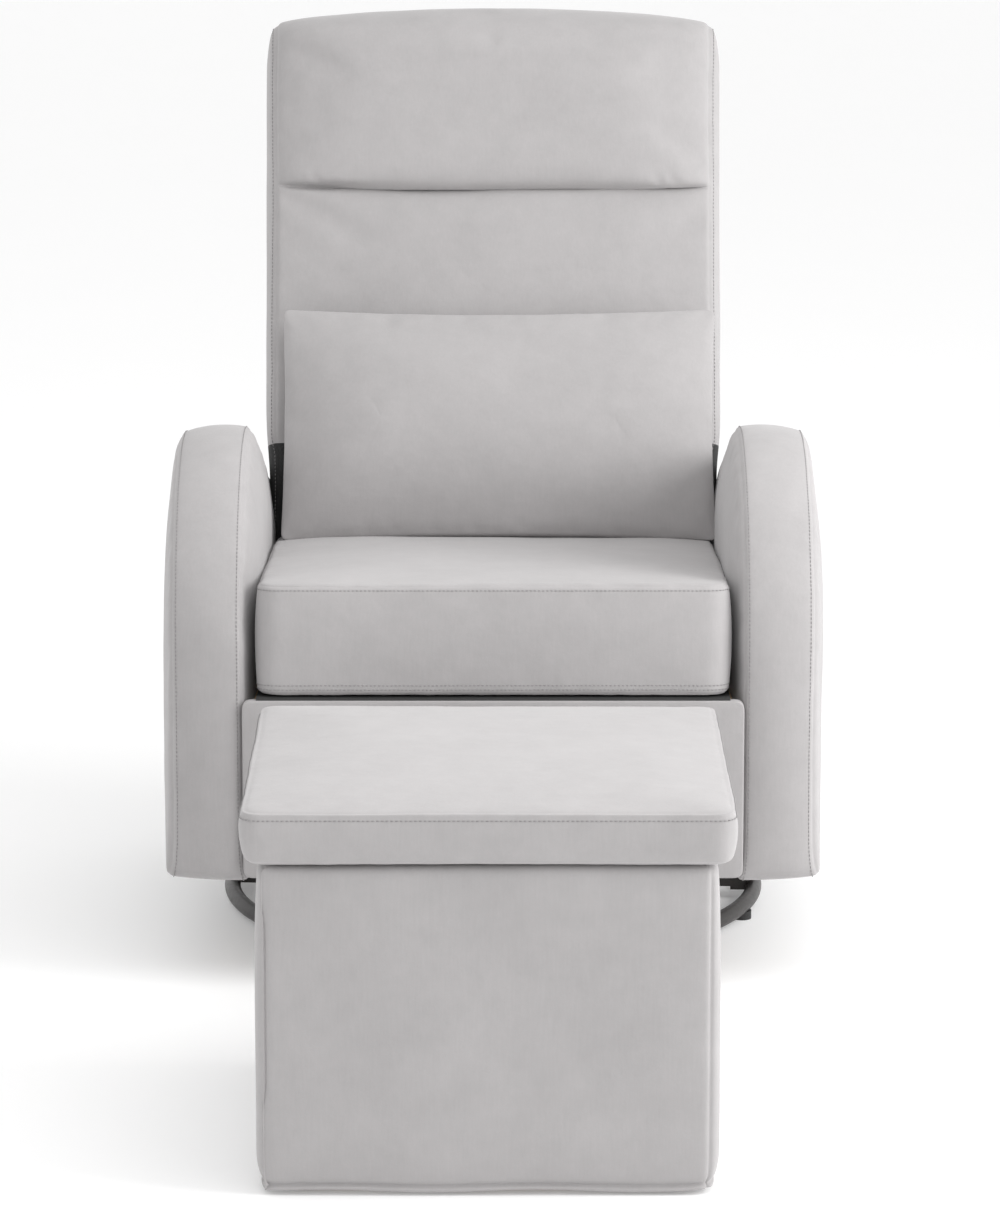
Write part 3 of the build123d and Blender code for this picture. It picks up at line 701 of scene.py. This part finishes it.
def pillow_loop():
    """Sides pulled in between the corners, which stand out as small ears."""
    half, tall = PILLOW_W / 2, PILLOW_H
    loop = resample(rounded_rectangle(-half, half, 0, tall, 0.005), STEP)
    u, v = loop[:, 0] / half, loop[:, 1] / tall * 2 - 1
    pinch_x = 1 - 0.014 * (1 - v**2)
    dip = np.where(v > 0, 0.011, 0.004) * (1 - u**2)
    return np.column_stack([PILLOW_X + loop[:, 0] * pinch_x, loop[:, 1] - np.sign(v) * dip * np.abs(v)])


def pillow_shape(grid):
    """Fills the pillow like a bag: thick in the middle, thin at the seam, thinner still in the corners."""
    u = (grid[..., 0] - PILLOW_X) / (PILLOW_W / 2)
    v = grid[..., 1] / PILLOW_H * 2 - 1
    across = np.clip(1 - np.abs(u) ** 3.2, 0, 1) ** 0.62
    up = np.clip(1 - np.abs(v) ** 2.6, 0, 1) ** 0.62
    thickness = PILLOW_HALF_T * across * up
    from_side, from_end = (1 - np.abs(u)) * PILLOW_W / 2, (1 - np.abs(v)) * PILLOW_H / 2
    along, beside = 0.8 * from_side + 0.6 * from_end, 0.6 * from_side - 0.8 * from_end
    fold = 0.0026 * np.exp(-(beside / (0.004 + 0.10 * along)) ** 2)
    thickness -= fold * (along / CORNER_FOLD) * np.exp(-along / CORNER_FOLD)
    grid[..., 2] = np.sign(grid[..., 2]) * (0.0008 + thickness.clip(0))
    return grid


def make_pillow():
    place = placed(0.040, 0.4262, PILLOW_TILT)
    spine = ((-0.12, 0.141), (0.13, 0.141))
    return Form("lumbar_pillow_cover", pillow_loop(), spine, (-0.0008, 0.0008), (0.05, 0.05), (0.05, 0.05),
                0.0, axes=UPRIGHT, place=place, shape=pillow_shape)


# ---- flat covers of the chair body ----
PANEL_TUCK = 0.010  # how far the cover is tucked in beside each arm
PANEL_R = 0.006


def make_panel(name, node, face_y, depth):
    """A thin padded panel over a rail, upright between the arms."""
    lo, hi = low(node), high(node)
    loop = resample(rounded_rectangle(lo.x - PANEL_TUCK, hi.x + PANEL_TUCK, lo.z, hi.z, PANEL_R), STEP)
    mid = (lo.z + hi.z) / 2
    width = (-face_y - depth, -face_y)
    return Form(name, loop, ((-0.2, mid), (0.2, mid)), width, (0.0, 0.0015), (0.02, 0.02), 0.0, axes=UPRIGHT)


def make_back_panel():
    loop = resample(rounded_rectangle(-0.246, 0.246, -0.098, 0.604, 0.012), STEP)
    return Form("back_outer_panel", loop, ((0, 0.1), (0, 0.4)), (-0.1285, -0.124), (0.0015, 0.0),
                (0.02, 0.02), 0.0, axes=UPRIGHT, place=BACK)


DECK_HALF_W = 0.264
DECK_DROP = -0.0013  # the cloth's height under the seat cushion
DECK_EDGE = ((0.0030, -0.0056), (0.0036, -0.0032), (0.0060, -0.0017), (0.0120, DECK_DROP))
DECK_END = 0.492
DECK_SAG = 0.0004


def make_deck():
    """Black cloth stretched over the springs, its front edge turned down over the rail."""
    xs = np.linspace(-DECK_HALF_W, DECK_HALF_W, 45)
    lines = list(DECK_EDGE) + [(y, DECK_DROP) for y in np.linspace(0.024, DECK_END, 40)]
    verts, faces = [], []
    for y, z in lines:
        for x in xs:
            sag = DECK_SAG * sin(pi * y / DECK_END) * cos(x / DECK_HALF_W * pi / 2)
            verts.append(tuple(DECK @ Vector((x, y, z - sag))))
    for row in range(len(lines) - 1):
        for k in range(len(xs) - 1):
            a = row * len(xs) + k
            faces.append((a, a + 1, a + 1 + len(xs), a + len(xs)))
    data = bpy.data.meshes.new("deck_lining")
    data.from_pydata(verts, [], faces)
    data.shade_smooth()
    deck = linked("deck_lining", data)
    deck.data.materials.append(FINISHES["black_cloth"])
    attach(deck, "chair")
    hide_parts("deck_cloth")


# ---- ottoman ----
LID_INSET = 0.005
LID_R = 0.014
LID_FLOOR = low("lid_cushion").z - 0.0004


def make_lid():
    lo, hi = low("lid_cushion"), high("lid_cushion")
    x0, x1, y0, y1 = lo.x + LID_INSET, hi.x - LID_INSET, lo.y + LID_INSET, hi.y - LID_INSET
    loop = resample(rounded_rectangle(x0, x1, y0, y1, LID_R), STEP)
    mid = (lo.y + hi.y) / 2
    return Form("ottoman_lid_cushion", loop, ((-0.03, mid), (0.02, mid)), (LID_FLOOR, lo.z + 0.052),
                (0.0, 0.007), (0.004, 0.03), 0.0055, insets=(0.005, 0.0), axes=LYING)


def main_forms():
    return {
        "arm_left": make_arm("arm_upholstery_left", 1),
        "arm_right": make_arm("arm_upholstery_right", -1),
        "back": make_back(),
        "cushion": make_cushion(),
        "pillow": make_pillow(),
        "lid": make_lid(),
        "front_panel": make_panel("seat_front_panel", "front_rail_cover", CHAIR_FRONT, 0.0125),
        "rear_panel": make_panel("seat_rear_panel", "rear_rail_cover", 0.2567, 0.0064),
        "back_panel": make_back_panel(),
    }


OTTO_CROWN = 0.0105  # of the left and right sides
OTTO_FRONT_CROWN = 0.003  # of the front and rear
OTTO_LINING = 0.0245  # inset of the lining, over the boards
HEM_Z = 0.011
WELT_Z = 0.0065  # the turned hem bulges a little here
HEM_HEIGHTS = (0.0045, 0.0058, 0.0080, HEM_Z - 0.0015, HEM_Z, HEM_Z + 0.0015, 0.0165, 0.023)
HEM_WAVE = 0.0018
TAPER_Z = 0.032  # below this the cover is drawn in
TAPER = 0.0035
ROW_STEP = 0.012
LINING_Z = 0.0205
LINING_ROWS = 16
TOP_EDGE = ((0.002, 0.002), (0.0, 0.007), (0.0, 0.018), (0.003, OTTO_LINING))  # drop and inset
UNDERSIDE = ((0.0065, 0.0220), (0.0062, 0.0080), (0.0042, 0.0035))  # height and inset
CORNER_SEAM_DEPTH = 0.0048


def ottoman_side(a, b):
    """Places along one side, crowded towards its corner seams."""
    near = np.array(NEAR_SEAM)
    length = b - a
    middle = np.linspace(near[-1], length - near[-1], round(length / STEP))
    return a + np.concatenate([[0], near[:-1], middle, length - near[:-1][::-1]])


def ottoman_loop(x0, x1, y0, y1):
    """The box's outline, and the numbers of its corner points."""
    xs, ys = ottoman_side(x0, x1), ottoman_side(y0, y1)
    sides = [np.column_stack([xs, np.full(len(xs), y0)]), np.column_stack([np.full(len(ys), x1), ys])]
    sides += [np.column_stack([xs[::-1], np.full(len(xs), y1)])]
    sides += [np.column_stack([np.full(len(ys), x0), ys[::-1]])]
    return np.vstack(sides), [0, len(xs), len(xs) + len(ys), 2 * len(xs) + len(ys)]


def ottoman_swell(z, top):
    """Less crown at the hem and under the lid."""
    return min(1.0, 0.35 + (z / 0.05) ** 0.8) * (1 - 0.4 * (z / top) ** 6)


class OttomanCover(Form):
    """Box cover: outside, rolled top edge, lining down to the floor panel, and a turned-under hem."""

    def __init__(self, name):
        lo, hi = low("ottoman_cover"), high("ottoman_cover")
        x0, x1 = lo.x + OTTO_CROWN, hi.x - OTTO_CROWN
        y0, y1 = lo.y + OTTO_FRONT_CROWN, hi.y - OTTO_FRONT_CROWN
        loop, self.corners = ottoman_loop(x0, x1, y0, y1)
        self.loop, self.count = loop, len(loop)
        middle = np.array([(x0 + x1) / 2, (y0 + y1) / 2])
        to_x = np.minimum(loop[:, 0] - x0, x1 - loop[:, 0])
        to_y = np.minimum(loop[:, 1] - y0, y1 - loop[:, 1])
        on_side = to_x < 1e-6
        sideways = np.column_stack([np.sign(loop[:, 0] - middle[0]), 0 * to_x])
        lengthways = np.column_stack([0 * to_x, np.sign(loop[:, 1] - middle[1])])
        self.outward = np.where(on_side[:, None], sideways, lengthways)
        bulge = np.where(on_side, OTTO_CROWN * (1 - np.exp(-to_y / 0.009)),
                         OTTO_FRONT_CROWN * (1 - np.exp(-to_x / 0.02)))
        top = hi.z
        above_hem = np.linspace(TAPER_Z, top - 0.006, round((top - TAPER_Z - 0.006) / ROW_STEP))
        heights = list(HEM_HEIGHTS) + list(above_hem)
        welts = [0.0022 * np.exp(-((z - WELT_Z) / 0.0025) ** 2) for z in heights]
        rows = [self.ring(z, bulge * ottoman_swell(z, top) + welt) for z, welt in zip(heights, welts)]
        self.outside = len(rows)
        self.hem = HEM_HEIGHTS.index(HEM_Z)
        rows += [self.ring(top - drop, -inset) for drop, inset in TOP_EDGE]
        rows += [self.ring(z, -OTTO_LINING) for z in np.linspace(top - 0.01, LINING_Z, LINING_ROWS)]
        rows += [self.ring(z, -inset) for z, inset in UNDERSIDE]
        self.obj = self.mesh(name, np.array(rows))

    def ring(self, z, bulge):
        """One row: outward by bulge. A negative one shrinks the box towards its middle instead."""
        bulge = np.broadcast_to(bulge, (self.count,))
        middle = (self.loop.min(axis=0) + self.loop.max(axis=0)) / 2
        half = (self.loop.max(axis=0) - self.loop.min(axis=0)) / 2
        if bulge[0] < 0:
            points = middle + (self.loop - middle) * (half + bulge[0]) / half
        else:
            points = self.loop + self.outward * bulge[:, None]
        points = middle + (points - middle) * (1 - TAPER * max(0.0, 1 - z / TAPER_Z) ** 2 / half)
        wave = HEM_WAVE * np.sin(points[:, 0] * 31.0 + points[:, 1] * 23.0) * max(0.0, 1 - z / 0.02)
        return np.column_stack([points, z + wave])

    def mesh(self, name, grid):
        """A closed ring: the last row joins the first."""
        self.rows = len(grid)
        flat = grid.reshape(-1, 3) + np.array((0, SWIVEL_Y, 0))
        faces = []
        for row in range(self.rows):
            a, b = self.points(row), self.points((row + 1) % self.rows)
            faces += [(a[i - 1], a[i], b[i], b[i - 1]) for i in range(self.count)]
        data = bpy.data.meshes.new(name)
        data.from_pydata(flat.tolist(), [], [tuple(int(v) for v in face) for face in faces])
        tidy = bmesh.new()
        tidy.from_mesh(data)
        bmesh.ops.recalc_face_normals(tidy, faces=tidy.faces)
        tidy.to_mesh(data)
        tidy.free()
        data.shade_smooth()
        return linked(name, data)

    def points(self, row):
        return np.arange(row * self.count, (row + 1) * self.count)

    def corner_seams(self):
        """Vertical grooves at the four corner seams, on the outside only."""
        places, normals = self.places(), self.normals()
        for corner in self.corners:
            for near, share in ((-1, 0.2), (0, 1.0), (1, 0.2)):
                column = (corner + near) % self.count
                points = [int(self.points(row)[column]) for row in range(self.outside)]
                places[points] -= normals[points] * CORNER_SEAM_DEPTH * share
        self.move(places)


# ---- making the pieces ----
paint_cad()
forms = main_forms()
ottoman = OttomanCover("ottoman_box_cover")

# Only the pillow is a loose bag. The others have their cover drawn tight, and seams that are sewn in.
padded = [forms[name] for name in ("arm_left", "arm_right", "back", "cushion", "pillow", "lid")]
simulate(padded, [0.002 if form is forms["pillow"] else 0.0 for form in padded])
for number, form in enumerate(padded):
    form.relax(60 if form is forms["pillow"] else 25)
    form.ripple(0.16, 0.0016, number)
    form.ripple(0.05, 0.0005, number + 10)
for number, form in enumerate(padded):
    if form is not forms["pillow"]:
        for seam in (form.seam_a, form.seam_b):
            form.groove(seam)
            form.pucker(seam, 0.0011, number * 5.7 + seam)
forms["lid"].groove(forms["lid"].seam_b, SEAM_DEPTH, ((-1, 0.3), (0, -1.3), (1, 0.2)))
forms["cushion"].pucker(forms["cushion"].seam_b, 0.0014, 88.0, 0.017)
settle(forms["cushion"], DECK, 0.0004)
settle(forms["lid"], LEVEL, LID_FLOOR)
ottoman.ripple(0.14, 0.0014, 21)
ottoman.groove(ottoman.hem, 0.0042)
ottoman.corner_seams()

for name, body, replaced, fill in (
        ("arm_left", "chair", "arm_pad_left", 0.9),
        ("arm_right", "chair", "arm_pad_right", 0.9),
        ("back", "chair", "back_pad", 0.85),
        ("back_panel", "chair", "back_panel", 0.9),
        ("front_panel", "chair", "front_rail_cover", 0.9),
        ("rear_panel", "chair", "rear_rail_cover", 0.9),
        ("cushion", "seat_cushion", "seat_cushion", 0.85),
        ("pillow", "lumbar_pillow", "lumbar_pillow", 0.7),
        ("lid", "ottoman_lid", "lid_cushion", 0.85)):
    finish_form(forms[name], body, replaced)
finish_form(ottoman, "ottoman", "ottoman_cover")
# painted shade: the back's foot between the arms is made black
paint_foot_shade_black(forms["back"])

for side in ("left", "right"):
    arm = forms["arm_" + side]
    stitches(f"arm_stitching_{side}", arm, [arm.seam_a + STITCH_ROW, arm.seam_b - STITCH_ROW], "chair")
back = forms["back"]
stitches("back_stitching", back, [back.seam_a - STITCH_ROW, back.seam_b + STITCH_ROW], "chair")
cushion = forms["cushion"]
cushion_rows = [cushion.seam_b - STITCH_ROW, cushion.seam_a + STITCH_ROW, cushion.seam_a + STITCH_ROW + 1]
stitches("cushion_stitching", cushion, cushion_rows, "seat_cushion")
lid = forms["lid"]
stitches("lid_stitching", lid, [lid.seam_b - STITCH_ROW], "ottoman_lid")
make_deck()


# ---- studio ----
STAGE_GLOW = 0.17
STAGE_HALF = 14.0
STAGE_CURVE_Y = 13.0  # where the floor starts to curve up
STAGE_R = 3.0
STAGE_HEIGHT = 9.0


def area_light(name, place, aim, size, power):
    data = bpy.data.lights.new(name, "AREA")
    data.shape = "RECTANGLE"
    data.size, data.size_y = size
    data.energy = power
    obj = bpy.data.objects.new(name, data)
    obj.location = place
    obj.rotation_euler = (Vector(aim) - Vector(place)).to_track_quat("-Z", "Y").to_euler()
    obj.visible_camera = False
    bpy.context.scene.collection.objects.link(obj)


def stage():
    """A floor that curves up into a backdrop, far enough to be a plain pale ground."""
    data = bpy.data.meshes.new("studio_floor")
    half, curve_y, r, height = STAGE_HALF, STAGE_CURVE_Y, STAGE_R, STAGE_HEIGHT
    profile = [(-half, 0.0), (curve_y, 0.0)]
    profile += [(curve_y + r * sin(a), r - r * cos(a)) for a in np.linspace(0.15, pi / 2, 9)]
    profile.append((curve_y + r, height))
    verts = [(x, y, z) for y, z in profile for x in (-half, half)]
    faces = [(i, i + 1, i + 3, i + 2) for i in range(0, len(verts) - 2, 2)]
    data.from_pydata(verts, [], faces)
    data.shade_smooth()
    obj = bpy.data.objects.new("studio_floor", data)
    bpy.context.scene.collection.objects.link(obj)
    white = plain("studio_white", (0.86, 0.86, 0.86), 0.9, scale=2.0, spread=0.004)
    shader = white.node_tree.nodes["Principled BSDF"]
    shader.inputs["Emission Color"].default_value = (1.0, 1.0, 1.0, 1.0)
    shader.inputs["Emission Strength"].default_value = STAGE_GLOW
    obj.data.materials.append(white)


def studio():
    world = bpy.data.worlds.new("studio")
    world.use_nodes = True
    shade = world.node_tree.nodes["Background"]
    shade.inputs["Color"].default_value = (1.0, 1.0, 1.0, 1.0)
    shade.inputs["Strength"].default_value = 0.885
    bpy.context.scene.world = world
    area_light("top", (0.2, -0.3, 3.4), (0, 0, 0.4), (3.0, 3.0), 10)
    area_light("right", (3.0, -1.0, 1.8), (0, 0, 0.5), (1.8, 2.2), 82)
    area_light("over_ottoman", (0.05, -0.60, 1.25), (0.05, -0.55, 0.4), (0.8, 0.8), 2.6)
    area_light("right_front", (2.6, -3.4, 1.6), (0, 0, 0.5), (1.8, 1.8), 9)
    bpy.context.scene.view_settings.view_transform = "Standard"


stage()
studio()


def camera():
    data = bpy.data.cameras.new("camera")
    data.lens = 138.2
    data.sensor_width = 36.0
    data.shift_x = 0.0056
    data.shift_y = -0.12
    obj = bpy.data.objects.new("camera", data)
    obj.location = (0, SWIVEL_Y - 5.4755, 1.5577)
    obj.rotation_euler = (radians(90 - 10.66), 0, 0)
    bpy.context.scene.collection.objects.link(obj)
    bpy.context.scene.camera = obj


camera()
